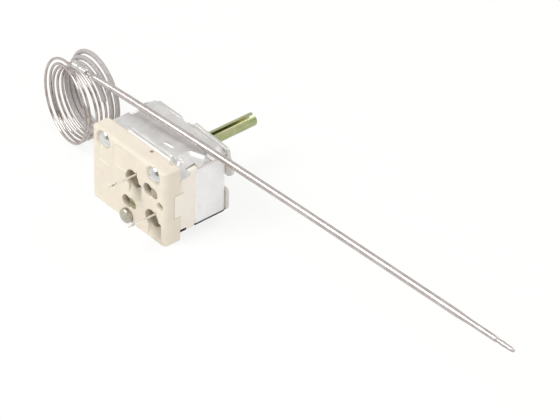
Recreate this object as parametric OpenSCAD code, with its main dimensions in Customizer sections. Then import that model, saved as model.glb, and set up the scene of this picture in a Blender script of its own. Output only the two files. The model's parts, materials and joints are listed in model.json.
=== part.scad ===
/* [Terminal block] */
// Width of the terminal block
block_w = 47.5; // [40:0.5:60]
// Height of the terminal block
block_h = 36.5; // [34:0.5:50]
// Thickness of the terminal block
block_t = 8; // [6:0.5:12]
// Sideways offset of the block's middle from the shaft axis
block_shift_x = 1.25; // [-3:0.25:3]
// Height of the block's middle above the shaft axis
block_shift_z = -2.75; // [-5:0.25:2]
// Radius of the block's upright front edges
block_edge_r = 3; // [1:0.5:4]
// Radius of the block's top and bottom front edges
block_brow_r = 1.8; // [0.5:0.1:3]
// Radius of the two rivet recesses
rivet_recess_r = 4.3; // [4:0.1:6]
// Depth of the two rivet recesses
rivet_recess_d = 0.8; // [0.3:0.1:3]
// Radius of the two terminal wells
well_r = 4.2; // [3.6:0.1:6]
// Depth of the two terminal wells
well_d = 3.6; // [2:0.1:5.5]
// Depth of the shallow moulded fields on the face
field_d = 0.3; // [0.2:0.1:1.5]

/* [Body] */
// Distance from the mounting face to the face of the terminal block
body_depth = 33.5; // [30:0.5:50]
// Width of the switch base
base_w = 44.3; // [40:0.1:60]
// Sideways offset of the base's middle from the shaft axis
base_shift_x = 2.15; // [-3:0.05:4]
// Height of the base's roof above the shaft axis
base_top = 13.2; // [12.5:0.1:20]
// Depth of the base's floor below the shaft axis
base_bottom = 16.5; // [15:0.1:25]
// Wall thickness of the base
base_wall = 2; // [1.2:0.1:3]
// Length of the rear chamber, from the plate to the inner wall
rear_chamber = 12.5; // [12.3:0.1:16]
// Thickness of the sheet-metal cover
cover_t = 0.8; // [0.5:0.1:1.2]
// Height of the cover's rib above its flat
rib_h = 1.6; // [0.5:0.1:2.5]
// Thickness of the black sheet under the base
insulator_t = 0.8; // [0.3:0.1:1]
// Thickness of the side label
label_t = 0.25; // [0.1:0.05:0.5]
// Height of the side label
label_h = 26.8; // [15:0.2:27]

/* [Mounting plate] */
// Width of the mounting plate below its ears
plate_w = 51.2; // [46:0.2:64]
// Thickness of the mounting plate
plate_t = 1.5; // [1:0.1:3]
// Height of the plate's top edge above the shaft axis, left of its notch
plate_top = 14; // [13:0.1:20]
// Depth of the plate's bottom edge below the shaft axis
plate_bottom = 17.4; // [16:0.1:26]
// Distance between the two fixing holes
fixing_spacing = 28; // [22:0.5:34]
// Radius of the tapped fixing holes
fixing_r = 1.65; // [1.2:0.05:2.5]

/* [Shaft] */
// Radius of the control shaft
shaft_r = 3; // [2.6:0.1:4]
// Length of the control shaft in front of the mounting face
shaft_len = 34.5; // [18:0.5:45]
// Wall thickness of the rolled shaft
shaft_wall = 1.05; // [0.8:0.05:1.2]
// Width of the shaft's long slot
shaft_slot_w = 1.4; // [0.6:0.1:2]
// Direction of the slot, up from the right
shaft_slot_angle = 72; // [0:1:180]
// Radius of the adjusting spindle's thread
spindle_r = 2.5; // [2.2:0.1:3.5]
// Running clearance of turning and sliding pieces
run_gap = 0.05; // [0.03:0.01:0.08]
// Rest gap between pieces that push on each other
push_gap = 0.3; // [0.1:0.05:0.5]

/* [Diaphragm and switch] */
// Radius of the diaphragm capsule
capsule_r = 10; // [8:0.2:10.4]
// Thickness of the diaphragm capsule
capsule_t = 2.6; // [2:0.1:3.2]
// Radius of the push pin
push_pin_r = 1.5; // [1:0.1:2.5]
// Thickness of the switch lever
lever_t = 0.5; // [0.3:0.1:0.8]
// Height of the switch lever
lever_h = 6; // [4:0.5:8]
// Radius of the switch contacts
contact_r = 2; // [1.2:0.1:3]
// Radius of the lever's pivot pin
pivot_r = 0.65; // [0.5:0.05:0.9]

/* [Terminals and rivets] */
// Width of the spade tabs
tab_w = 6.3; // [4.8:0.1:6.3]
// Thickness of the spade tabs
tab_t = 0.8; // [0.5:0.05:1]
// Length of the spade tabs in front of the block
tab_out = 11.7; // [8:0.1:16]
// Radius of the hole in each spade tab
tab_hole_r = 0.9; // [0.5:0.1:1.2]
// Radius of the two domed rivet heads
dome_r = 3.6; // [2.5:0.1:3.8]
// Height of the domed rivet heads
dome_h = 1.7; // [1:0.1:3]
// Radius of the rivet shanks
shank_r = 1.6; // [1:0.1:2]
// Radius of the flat rivet head
flat_head_r = 3.3; // [2.6:0.1:3.4]
// Height of the flat rivet head
flat_head_h = 2.8; // [0.8:0.1:3.2]

/* [Capillary and probe] */
// Diameter of the bare capillary
capillary_d = 1.2; // [1:0.1:2]
// Diameter of the insulating sleeve
sleeve_d = 2.2; // [1.8:0.1:3]
// Outer radius of the capillary coil
coil_r = 19.4; // [15:0.1:25]
// Radial depth of the capillary coil
coil_depth = 6.5; // [3:0.5:9]
// Length of the coil along its own axis
coil_len = 15.8; // [8:0.2:20]
// Turn of the coil's axis about the vertical
coil_yaw = 4.9; // [0:0.1:20]
// Diameter of the probe
probe_d = 3.1; // [2.5:0.1:6]
// Length of the probe from its neck to its end
probe_len = 235.5; // [120:0.5:300]
// Length of the probe's narrowed end
probe_end_len = 31; // [15:1:45]
// Diameter of the crimp collar
collar_d = 2.9; // [2.2:0.1:4]
// Length of the crimp collar
collar_len = 8.6; // [4:0.2:12]

/* [Hidden] */
$fn = 48;
// Reach of a cut past the face that it opens, and overlap of joined solids
over = 1;
weld = 0.01;

// Planes along the depth, from the mounting face at zero towards the terminals
face_y = -body_depth;
block_back = face_y + block_t;
plate_back = -plate_t;
inner_wall_y = plate_back - rear_chamber;
switch_y = inner_wall_y - base_wall;

// Edges of the block and of the base
block_left = block_shift_x - block_w / 2;
block_right = block_shift_x + block_w / 2;
block_top = block_shift_z + block_h / 2;
block_bottom = block_shift_z - block_h / 2;
base_left = base_shift_x - base_w / 2;
base_right = base_shift_x + base_w / 2;

// Features of the block's face, as [x, z] from the shaft axis, tied to its edges
rivet_left_at = [block_left + 7.3, block_top - 4.4];
rivet_right_at = [block_right - 8, block_top - 4.4];
rivet_bottom_at = [block_shift_x - 0.35, block_bottom + 3.4];
tab_upper_at = [block_shift_x + 2.75, block_shift_z + 6.45];
tab_lower_at = [block_right - 8.35, block_bottom + 12];
tab_turn = 45;
tab_hole_back = 4.6;
tab_slot_gap = 0.1;
tab_pocket_side = 0.4;
tab_pocket_gap = 1.1;
tab_pocket_d = 6.2;
tab_tip_taper = 2.2;
tab_tip_inset = 1.6;
key_upper_at = [block_right - 11.4, block_top - 13.1];
key_lower_at = [block_shift_x - 1.35, block_shift_z - 8.55];
key_step = [3.6, -0.2];
key_step_low = [3.4, 0.5];
key_r = 2.9;
key_step_r = 2.5;
key_d = 3.6;
key_step_d = 2.4;
key_head_sunk = 0.6;
key_head_gap = 0.25;
key_head_h = key_step_d - key_head_sunk;
key_upper_seat = key_upper_at + key_step;
key_lower_seat = key_lower_at + key_step_low;
block_corner_r = 1.2;
block_sole_r = 0.6;
throat_w = 5.3;
well_offset = [-0.55, -2];
channel_w = 2 * well_r - 0.4;
channel_shift = 1.4;
channel_d = well_d - 1;
channel_end_d = 0.25;
channel_upper_z = tab_upper_at[1] - 10.2;
channel_lower_z = block_bottom + 0.8;
field_x = [block_left + 4.5, block_left + 12.1, block_left + 13.3, block_shift_x + 5.4];
field_z = [block_top - 15.5, block_top - 12.5, block_top - 6.5, block_top - 1.9];
dish_at = [block_right - 3.8, block_shift_z + 0.65];
dish_r = 2;
dish_d = 2.2;
dish_taper = 0.5;
dimple_at = [block_shift_x + 6.85, block_back - 1.2];
dimple_r = 0.9;
dimple_d = 3.5;
top_slot_at = [block_right - 6.5, block_back - 1];
top_slot_size = [2.6, 0.5, 1.6];
mark_x = block_shift_x - 4.05;
mark_z = [block_top - 5.4, block_top - 1.4];
mark_w = 0.3;
mark_d = 0.7;
rivet_end_y = block_back - 0.1;
flat_head_edge = 0.7;
screw_slot_w = 0.8;
screw_slot_d = 0.7;

// Switch parts, from the inner wall towards the block
bar_t = 0.8;
button_t = 0.7;
fixed_button_y = switch_y - bar_t - button_t;
moving_button_y = fixed_button_y - push_gap;
lever_y = moving_button_y - button_t;
pivot_x = block_left + 9.5;
pivot_eye_r = pivot_r + 0.65;
pivot_y = lever_y - lever_t - pivot_eye_r + 0.4;
contact_x = tab_lower_at[0] - 5;
bracket_w = 5;
bracket_t = 0.8;
bracket_ear_z = lever_h / 2 + 0.9;
bracket_top_z = bracket_ear_z + bracket_t;
bar_half_h = 3;
foot_half_w = 2.6;
foot_drop = 6;

// Shaft parts, from the shaft's end back to the capsule
shaft_start = 0.6;
shaft_bore_r = shaft_r - shaft_wall;
seat_gap = 0.02;
bush_r = 4.5;
bush_flange_r = 6;
bush_flange_t = 3;
spindle_end = plate_back - bush_flange_t - 2.5;
spindle_nose = 9;
stud_r = 2.5;
stud_t = 1.6;
stud_y = spindle_end - push_gap;
capsule_y = stud_y - stud_t;
capsule_rim = 0.5;
push_pin_y = capsule_y - capsule_t - push_gap;

// Mounting plate
thread_collar_h = 1.2;
corner_hole_r = 0.8;
plate_ear_reach = 3;
plate_corner_r = 3;
plate_waist_in = 4.6;
plate_waist_z = [-5.9, 2.6];
ear_low_at = [plate_w / 2 + plate_ear_reach - 1.6, 4];
ear_low_r = 1.6;
ear_top_at = [plate_w / 2 + plate_ear_reach - 1.9, 7.2];
ear_top_r = 1.9;
corner_hole_at = [plate_w / 2 - 1.9, plate_top - 1.7];
plate_brow_r = 2;

// Cover: its field of heights, in the frame of the shaft axis
cover_cells = 30;
cover_z = base_top + cover_t;
cover_left = base_left - 0.9;
cover_right = base_right + 0.7;
cover_front = block_back + 0.1;
cover_back = plate_back - 0.1;
rib_y = block_back + 2.9;
rib_half = 1;
rib2_y = block_back + 7.5;
rib2_x0 = base_shift_x + 1;
rib2_x1 = base_shift_x + 9;
rib2_h = 0.5;
rib2_half = 0.8;
rib_run = 3;
rib2_run = 2;
rib_x0 = base_left + 7;
rib_x1 = base_right - 9.2;
corner_x = base_right - 8.8;
corner_blend = 2.6;
corner_crease = [base_right - 9.4, block_back + 10.5];
corner_slope = [-0.205, 0.2];
side_crease = [base_right - 3.1, block_back];
side_slope = [-0.5, 0];
lug_y = block_back + 5.2;
lug_w = 4.2;
lug_depth = 2.3;
lug_top = base_top - 1.8;
lug_gap = 0.15;
lug_root = 5;
cover_fall = 6;
left_lug_y = block_back + 10.3;
left_lug_depth = 1;
left_lug_gap = 0.4;
left_lug_out = 0.3;
left_lug_root = 2;
left_lug_rise = 0.4;
seam_w = 0.6;
seam_d = 0.8;
seam_r = 0.5;
foot_y = block_back + 3.9;
foot_w = 4.2;
foot_h = 0.8;
foot_depth = 2;
foot_gap = 0.2;
insulator_inset = 0.2;
insulator_side = 0.5;
tongue_z1 = block_shift_z + 5.4;
tongue_z0 = block_shift_z - 5.6;
tongue_reach = 3.1;
tongue_x0 = base_right - 1.5;
tongue_t = 2.2;
tongue_gap = 0.2;
corner_gap = 0.3;
label_front = block_back + 8.1;
label_top = base_top - 2.6;
label_back = plate_back - 0.4;
label_chamfer = [1.7, 2.4];

// Coil, sleeve and probe
floor_z = block_bottom;
coil_at = [-60.6, -9.8];
coil_z = floor_z + coil_r;
lead_exit = [base_left - 0.3, capsule_y - capsule_t / 2, 0];
lead_points = [lead_exit, [-23, -10.1, -0.3], [-27, -9.4, -2], [-31, -8.2, -5.2], [-35, -6.8, -9.2],
    [-39, -5.5, -13.2], [-43, -4.4, -16.6], [-47.5, -3.6, -19], [-53, -3.1, -19.9]];
lead_sides = 8;
strand_inset = 3;
probe_at = [coil_at[0] + 14.1, coil_at[1] - coil_len / 2 + strand_inset + 0.45, floor_z + 2 * coil_r - 0.1];
probe_yaw = 3.69;
probe_over_cover = 0.37;
probe_pitch = atan((probe_at[2] - cover_z - probe_d / 2 - probe_over_cover) / (base_right - probe_at[0]));
probe_taper_len = 11;
crimp_back = 9;
crimp_depth = 0.3;
neck_len = 3.7;
neck_d = 1.7;

function arc(c, r, a0, a1, n) =
    [for (i = [0:n]) let (a = a0 + (a1 - a0) * i / n) [c[0] + r * cos(a), c[1] + r * sin(a)]];

function round_rect(x0, x1, y0, y1, r, n = 6) = concat(
    arc([x1 - r, y1 - r], r, 0, 90, n), arc([x0 + r, y1 - r], r, 90, 180, n),
    arc([x0 + r, y0 + r], r, 180, 270, n), arc([x1 - r, y0 + r], r, 270, 360, n));

function smooth(a, b, v) = let (t = max(0, min(1, (v - a) / (b - a)))) t * t * (3 - 2 * t);

function bump(v, mid, half) = exp(-pow((v - mid) / half, 2));

// Places a child, drawn along +Z, along +Y from the depth y at [x, z]
module along_y(at, y) {
    translate([at[0], y, at[1]]) rotate([-90, 0, 0]) children();
}

// A disc from depth y0 to depth y1
module disc_y(at, r, y0, y1) {
    along_y(at, y0) cylinder(r = r, h = y1 - y0);
}

// A flat outline in X and Z, from depth y0 to depth y1
module slab_y(points, y0, y1) {
    translate([0, y1, 0]) rotate([90, 0, 0]) linear_extrude(height = y1 - y0) polygon(points);
}

module block_body() {
    intersection() {
        slab_y(round_rect(block_left, block_right, block_bottom, block_top, block_corner_r),
            face_y, block_back);
        translate([0, 0, block_bottom - over]) linear_extrude(height = block_h + 2 * over)
            polygon(concat([[block_right, block_back + over], [block_left, block_back + over]],
                arc([block_left + block_edge_r * 0.5, face_y + block_edge_r * 0.5],
                    block_edge_r * 0.5, 180, 270, 6),
                arc([block_right - block_edge_r, face_y + block_edge_r], block_edge_r, 270, 360, 8)));
        translate([block_left - over, 0, 0]) rotate([90, 0, 90])
            linear_extrude(height = block_w + 2 * over)
            polygon(concat([[block_back + over, block_bottom], [block_back + over, block_top]],
                arc([face_y + block_brow_r, block_top - block_brow_r], block_brow_r, 90, 180, 6),
                arc([face_y + block_sole_r, block_bottom + block_sole_r], block_sole_r, 180, 270, 4)));
    }
}

// A rivet recess that runs out through the block's top
module rivet_recess(at) {
    disc_y(at, rivet_recess_r, face_y - over, face_y + rivet_recess_d);
    translate([at[0] - throat_w / 2, face_y - over, at[1]])
        cube([throat_w, over + rivet_recess_d, block_top - at[1] + over]);
}

// A terminal well with a channel below it that runs out to the face
module tab_well(at, low_z) {
    well = at + well_offset;
    disc_y(well, well_r, face_y - over, face_y + well_d);
    translate([at[0] + channel_shift - channel_w / 2, 0, 0]) rotate([90, 0, 90])
        linear_extrude(height = channel_w)
        polygon([[face_y - over, well[1]], [face_y - over, low_z], [face_y + channel_end_d, low_z],
            [face_y + channel_d, well[1]]]);
}

// A key-shaped well of two lobes
module key_well(at, step) {
    disc_y(at, key_r, face_y - over, face_y + key_d);
    disc_y(at + step, key_step_r, face_y - over, face_y + key_step_d);
}

module tab_slot(at) {
    along_y(at, face_y - over) rotate([0, 0, -tab_turn])
        translate([-tab_w / 2 - tab_slot_gap, -tab_t / 2 - tab_slot_gap, 0])
        cube([tab_w + 2 * tab_slot_gap, tab_t + 2 * tab_slot_gap, block_t + 2 * over]);
}

// A wider pocket in the well's floor, round the foot of a blade
module tab_pocket(at) {
    intersection() {
        disc_y(at + well_offset, well_r, face_y, face_y + tab_pocket_d);
        along_y(at, face_y + well_d - over) rotate([0, 0, -tab_turn])
            translate([-tab_w / 2 - tab_pocket_side, -tab_t / 2 - tab_pocket_gap, 0])
            cube([tab_w + 2 * tab_pocket_side, tab_t + 2 * tab_pocket_gap, block_t]);
    }
}

module terminal_block() {
    color("wheat") difference() {
        block_body();
        rivet_recess(rivet_left_at);
        rivet_recess(rivet_right_at);
        disc_y(rivet_left_at, shank_r + run_gap, face_y, block_back + over);
        disc_y(rivet_right_at, shank_r + run_gap, face_y, block_back + over);
        disc_y(rivet_bottom_at, shank_r + run_gap, face_y - over, block_back + over);
        tab_well(tab_upper_at, channel_upper_z);
        tab_well(tab_lower_at, channel_lower_z);
        tab_slot(tab_upper_at);
        tab_slot(tab_lower_at);
        tab_pocket(tab_upper_at);
        tab_pocket(tab_lower_at);
        key_well(key_upper_at, key_step);
        key_well(key_lower_at, key_step_low);
        disc_y(key_upper_seat, shank_r + run_gap, face_y, block_back + over);
        disc_y(key_lower_seat, shank_r + run_gap, face_y, block_back + over);
        // Shallow fields: one right of the left rivet, one below it
        slab_y(round_rect(field_x[2], field_x[3], field_z[1], field_z[3], 3),
            face_y - over, face_y + field_d);
        slab_y(round_rect(field_x[0], field_x[1], field_z[0], field_z[2], 0.8),
            face_y - over, face_y + field_d);
        // Small dish right of the wells and an upright mark in the upper field
        along_y(dish_at, face_y - weld) cylinder(r1 = dish_r, r2 = dish_r - dish_taper, h = dish_d);
        translate([mark_x, face_y - over, mark_z[0]])
            cube([mark_w, over + mark_d, mark_z[1] - mark_z[0]]);
        // Drilled dimple and slot in the top
        translate([dimple_at[0], dimple_at[1], block_top - dimple_d])
            cylinder(r = dimple_r, h = dimple_d + over);
        translate([top_slot_at[0], top_slot_at[1], block_top - top_slot_size[2]])
            cube([top_slot_size[0], top_slot_size[1], top_slot_size[2] + over]);
        // Seat of the base's tongue in the right side
        translate([tongue_x0 - tongue_gap, block_back - tongue_reach - tongue_gap, tongue_z0 - tongue_gap])
            cube([block_w / 2, tongue_reach + tongue_gap + over, tongue_z1 - tongue_z0 + 2 * tongue_gap]);
    }
}

module switch_base() {
    inner_left = base_left + base_wall;
    inner_w = base_w - 2 * base_wall;
    inner_z = -base_bottom + base_wall;
    inner_h = base_top - base_wall - inner_z;
    color("antiquewhite") difference() {
        union() {
            difference() {
                union() {
                    slab_y(round_rect(base_left, base_right, -base_bottom, base_top, 0.8),
                        block_back + seam_w, plate_back);
                    // Sunk rim that leaves a dark seam at the block
                    slab_y(round_rect(base_left + seam_d, base_right - seam_d, seam_d - base_bottom,
                        base_top - seam_d, seam_r), block_back, block_back + seam_w + weld);
                }
                above_cover_corner();
            }
            // Tongue over the block's right side
            translate([tongue_x0, block_back - tongue_reach, tongue_z0])
                cube([tongue_t, tongue_reach + base_wall, tongue_z1 - tongue_z0]);
            // Lugs in the notches of the cover, and a foot at the right
            translate([base_right - lug_depth, lug_y, base_top - lug_root])
                cube([lug_depth, lug_w, lug_top - base_top + lug_root]);
            translate([base_left - left_lug_out, left_lug_y, base_top - left_lug_root])
                cube([left_lug_depth + left_lug_out, lug_w, left_lug_root + left_lug_rise]);
            translate([base_right - foot_depth, foot_y, -base_bottom - foot_h])
                cube([foot_depth, foot_w, foot_h + base_wall]);
        }
        // Switch chamber and diaphragm chamber
        difference() {
            union() {
                translate([inner_left, block_back - over, inner_z])
                    cube([inner_w, switch_y - block_back + over, inner_h]);
                translate([inner_left, inner_wall_y, inner_z])
                    cube([inner_w, rear_chamber + over, inner_h]);
            }
            translate([0, 0, -base_wall]) above_cover_corner();
        }
        disc_y([0, 0], push_pin_r + run_gap, switch_y - over, inner_wall_y + over);
        // Outlet of the capillary in the left wall
        translate([base_left - over, lead_exit[1], lead_exit[2]]) rotate([0, 90, 0])
            cylinder(r = sleeve_d / 2 + 0.5, h = base_wall + 2 * over);
    }
}

// What lies above a plane through [x, y] at the base's roof that rises by the slope in X and Y
module above_slope(crease, slope) {
    translate([crease[0], crease[1], base_top - corner_gap])
        rotate(a = atan(norm(slope)), v = [slope[1], -slope[0], 0])
        translate([-base_w, -base_w, 0]) cube([2 * base_w, 2 * base_w, base_top]);
}

// What lies above the underside of the cover's sloped corner and side, with a small clearance
module above_cover_corner() {
    intersection() {
        translate([corner_x - corner_gap, block_back - over, 0])
            cube([block_w, body_depth, base_top + 2 * over]);
        union() {
            above_slope(corner_crease, corner_slope);
            above_slope(side_crease, side_slope);
        }
    }
}

function rib_window(x) = smooth(rib_x0, rib_x0 + rib_run, x) * (1 - smooth(rib_x1, rib_x1 + rib_run, x));

function rib2_window(x) = smooth(rib2_x0, rib2_x0 + rib_run, x)
    * (1 - smooth(rib2_x1 - rib2_run, rib2_x1, x));

function cover_main(x, y) = cover_z + rib_h * rib_window(x) * bump(y, rib_y, rib_half)
    + rib2_h * rib2_window(x) * bump(y, rib2_y, rib2_half);

function cover_corner(x, y) = cover_z + min(0, corner_slope * ([x, y] - corner_crease),
    side_slope * ([x, y] - side_crease));

function cover_height(x, y) = let (s = smooth(corner_x, corner_x + corner_blend, x))
    (1 - s) * cover_main(x, y) + s * cover_corner(x, y);

// A pressed sheet: a grid of heights, closed by a second grid one thickness below
module pressed_sheet(x0, x1, y0, y1, nx, ny, t) {
    xs = [for (i = [0:nx]) x0 + (x1 - x0) * i / nx];
    ys = [for (j = [0:ny]) y0 + (y1 - y0) * j / ny];
    top = [for (j = [0:ny]) for (i = [0:nx]) [xs[i], ys[j], cover_height(xs[i], ys[j])]];
    low = [for (p = top) [p[0], p[1], p[2] - t]];
    n = (nx + 1) * (ny + 1);
    faces = concat(
        [for (j = [0:ny - 1]) for (i = [0:nx - 1]) let (a = j * (nx + 1) + i) [a, a + nx + 1, a + 1]],
        [for (j = [0:ny - 1]) for (i = [0:nx - 1]) let (a = j * (nx + 1) + i)
            [a + 1, a + nx + 1, a + nx + 2]],
        [for (j = [0:ny - 1]) for (i = [0:nx - 1]) let (a = n + j * (nx + 1) + i) [a, a + 1, a + nx + 1]],
        [for (j = [0:ny - 1]) for (i = [0:nx - 1]) let (a = n + j * (nx + 1) + i)
            [a + 1, a + nx + 2, a + nx + 1]],
        [for (i = [0:nx - 1]) [i, i + 1, n + i + 1]],
        [for (i = [0:nx - 1]) [i, n + i + 1, n + i]],
        [for (i = [0:nx - 1]) let (a = ny * (nx + 1) + i) [a, n + a, n + a + 1]],
        [for (i = [0:nx - 1]) let (a = ny * (nx + 1) + i) [a, n + a + 1, a + 1]],
        [for (j = [0:ny - 1]) let (a = j * (nx + 1)) [a, n + a, n + a + nx + 1]],
        [for (j = [0:ny - 1]) let (a = j * (nx + 1)) [a, n + a + nx + 1, a + nx + 1]],
        [for (j = [0:ny - 1]) let (a = j * (nx + 1) + nx) [a, a + nx + 1, n + a + nx + 1]],
        [for (j = [0:ny - 1]) let (a = j * (nx + 1) + nx) [a, n + a + nx + 1, n + a]]);
    polyhedron(points = concat(top, low), faces = faces);
}

module metal_cover() {
    color("silver") difference() {
        pressed_sheet(cover_left, cover_right, cover_front, cover_back, cover_cells, cover_cells, cover_t);
        translate([base_right - lug_depth - lug_gap, lug_y - lug_gap, base_top - cover_fall])
            cube([cover_right - base_right + lug_depth + lug_gap + over, lug_w + 2 * lug_gap,
                cover_fall + cover_t + over]);
        translate([cover_left - over, left_lug_y - left_lug_gap, base_top - over])
            cube([base_left + left_lug_depth + left_lug_gap - cover_left + over,
                lug_w + 2 * left_lug_gap, cover_t + 2 * over]);
    }
}

module mounting_plate() {
    half = plate_w / 2;
    // Right side from the bottom corner to the top of the ear
    side = concat(
        arc([half - plate_corner_r, plate_corner_r - plate_bottom], plate_corner_r, 270, 360, 6),
        [[half, plate_waist_z[0] - 1.3], [half - 1, plate_waist_z[0]],
         [half - plate_waist_in, plate_waist_z[0]], [half - plate_waist_in, plate_waist_z[1]],
         [half + plate_ear_reach - 2.6, plate_waist_z[1] - 1.2]],
        arc(ear_low_at, ear_low_r, 290, 380, 4), arc(ear_top_at, ear_top_r, 0, 60, 4));
    outline = concat(side, [[half + 0.4, plate_top - 3]],
        arc([half - 1.6, plate_top - 1.4], plate_brow_r, 0, 90, 5),
        // Raised tab beside the notch in the top edge
        [[17.3, plate_top + 1.1], [12, plate_top + 1.3], [9.6, plate_top + 1.4], [9, plate_top + 1.7],
         [4.6, plate_top + 1.9], [1.6, plate_top - 0.8], [-0.5, plate_top - 0.8], [-1.2, plate_top - 1.6],
         [-2.8, plate_top - 1.6], [-3.8, plate_top - 0.9], [-4.8, plate_top], [-19.2, plate_top]],
        [for (i = [len(side) - 1:-1:0]) [-side[i][0], side[i][1]]]);
    color("gainsboro") difference() {
        union() {
            slab_y(outline, plate_back, 0);
            // Drawn collars round the tapped holes
            for (side = [-1, 1])
                disc_y([side * fixing_spacing / 2, 0], fixing_r + 1.1, plate_back - thread_collar_h,
                    plate_back + weld);
        }
        for (side = [-1, 1])
            disc_y([side * fixing_spacing / 2, 0], fixing_r, plate_back - thread_collar_h - over, over);
        disc_y([0, 0], bush_r, plate_back - over, over);
        disc_y(corner_hole_at, corner_hole_r, plate_back - over, over);
    }
}

module side_label() {
    low = label_top - label_h;
    color("white") translate([base_right, 0, 0]) rotate([90, 0, 90]) linear_extrude(height = label_t)
        polygon([[label_front, low], [label_back, low], [label_back, label_top],
            [label_front + label_chamfer[0], label_top], [label_front, label_top - label_chamfer[1]]]);
}

module bottom_insulator() {
    x0 = base_left + insulator_side;
    y0 = block_back + insulator_inset;
    y1 = plate_back - insulator_inset;
    notch_x = base_right - foot_depth - foot_gap;
    notch_y0 = foot_y - foot_gap;
    notch_y1 = foot_y + foot_w + foot_gap;
    color("black") translate([0, 0, -base_bottom - insulator_t]) linear_extrude(height = insulator_t)
        polygon([[x0, y0], [base_right, y0], [base_right, notch_y0], [notch_x, notch_y0],
            [notch_x, notch_y1], [base_right, notch_y1], [base_right, y1], [x0, y1]]);
}

module control_shaft() {
    color("olive") difference() {
        disc_y([0, 0], shaft_r, shaft_start, shaft_len);
        disc_y([0, 0], shaft_bore_r, shaft_start - over, shaft_len + over);
        translate([0, shaft_start + 2, 0]) rotate([0, -shaft_slot_angle, 0])
            translate([0, 0, -shaft_slot_w / 2]) cube([shaft_r + over, shaft_len, shaft_slot_w]);
    }
}

module shaft_bush() {
    color("goldenrod") difference() {
        union() {
            disc_y([0, 0], bush_flange_r, plate_back - bush_flange_t, plate_back);
            disc_y([0, 0], bush_r - seat_gap, plate_back - weld, 0);
        }
        disc_y([0, 0], spindle_r + run_gap, plate_back - bush_flange_t - over, over);
    }
}

module adjusting_spindle() {
    color("lightsteelblue") union() {
        disc_y([0, 0], spindle_r, spindle_end, shaft_start);
        disc_y([0, 0], shaft_bore_r - seat_gap, shaft_start - weld, shaft_start + spindle_nose);
    }
}

module diaphragm_capsule() {
    hub = capsule_r - 7;
    wave = capsule_r - 2.8;
    flange = capsule_r - 2;
    low = (capsule_t - capsule_rim) / 2;
    high = (capsule_t + capsule_rim) / 2;
    color("peru") along_y([0, 0], capsule_y - capsule_t) rotate_extrude()
        polygon([[0, 0], [hub, 0], [wave, 0.35], [flange, low], [capsule_r, low], [capsule_r, high],
            [flange, high], [wave, capsule_t - 0.35], [hub, capsule_t], [0, capsule_t]]);
}

module capsule_stud() {
    color("darkkhaki") disc_y([0, 0], stud_r, capsule_y, stud_y);
}

module capillary_stub() {
    color("silver") translate([base_left + 0.1, lead_exit[1], lead_exit[2]]) rotate([0, 90, 0])
        cylinder(r = capillary_d / 2, h = -capsule_r - 0.1 - base_left);
}

module push_pin() {
    color("ivory") disc_y([0, 0], push_pin_r, lever_y + push_gap, push_pin_y);
}

module switch_lever() {
    color("darkgoldenrod") difference() {
        union() {
            translate([pivot_x, pivot_y, -lever_h / 2]) cylinder(r = pivot_eye_r, h = lever_h);
            translate([pivot_x, lever_y - lever_t, -lever_h / 2])
                cube([contact_x + contact_r + 1 - pivot_x, lever_t, lever_h]);
        }
        translate([pivot_x, pivot_y, -lever_h]) cylinder(r = pivot_r + run_gap, h = 2 * lever_h);
    }
}

module moving_contact() {
    color("silver") disc_y([contact_x, 0], contact_r, lever_y, moving_button_y);
}

module fixed_contact() {
    color("silver") disc_y([contact_x, 0], contact_r, fixed_button_y, switch_y - bar_t);
}

module contact_bar() {
    x0 = contact_x - contact_r - 1.5;
    x1 = tab_lower_at[0] + 1.5;
    color("darkgoldenrod") union() {
        translate([x0, switch_y - bar_t, -bar_half_h]) cube([x1 - x0, bar_t, 2 * bar_half_h]);
        translate([x1 - bar_t, block_back + bracket_t, -bar_half_h])
            cube([bar_t, switch_y - block_back - bracket_t, 2 * bar_half_h]);
    }
}

module lever_bracket() {
    x0 = pivot_x - bracket_w / 2;
    ear_len = pivot_y + pivot_eye_r + 0.2 - block_back;
    color("darkgoldenrod") difference() {
        union() {
            translate([x0, block_back, -bracket_top_z]) cube([bracket_w, bracket_t, 2 * bracket_top_z]);
            for (z = [-bracket_top_z, bracket_ear_z])
                translate([x0, block_back, z]) cube([bracket_w, ear_len, bracket_t]);
        }
        translate([pivot_x, pivot_y, -bracket_top_z - over])
            cylinder(r = pivot_r + seat_gap, h = 2 * (bracket_top_z + over));
    }
}

module pivot_pin() {
    pin_top_z = bracket_top_z + 0.3;
    color("silver") translate([pivot_x, pivot_y, -pin_top_z]) cylinder(r = pivot_r, h = 2 * pin_top_z);
}

// A spade blade through the block, its width turned up from the right
module tab_blade(at) {
    half = tab_w / 2;
    tip_y = face_y - tab_out;
    translate([at[0], 0, at[1]]) rotate([0, -tab_turn, 0]) difference() {
        translate([0, 0, -tab_t / 2]) linear_extrude(height = tab_t)
            polygon([[-half, block_back + bracket_t], [half, block_back + bracket_t],
                [half, tip_y + tab_tip_taper], [half - 1, tip_y + 0.5],
                [half - tab_tip_inset, tip_y], [-half + tab_tip_inset, tip_y],
                [-half + 1, tip_y + 0.5], [-half, tip_y + tab_tip_taper]]);
        translate([0, tip_y + tab_hole_back, -tab_t]) cylinder(r = tab_hole_r, h = 2 * tab_t);
    }
}

module terminal_upper() {
    x0 = pivot_x + bracket_w / 2;
    color("gold") union() {
        tab_blade(tab_upper_at);
        translate([x0, block_back, tab_upper_at[1] - foot_drop])
            cube([tab_upper_at[0] + foot_half_w - x0, bracket_t, foot_drop + foot_half_w]);
    }
}

module terminal_lower() {
    z0 = tab_lower_at[1] - foot_half_w;
    color("gold") union() {
        tab_blade(tab_lower_at);
        translate([tab_lower_at[0] - foot_half_w, block_back, z0])
            cube([2 * foot_half_w, bracket_t, bar_half_h - z0]);
    }
}

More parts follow.
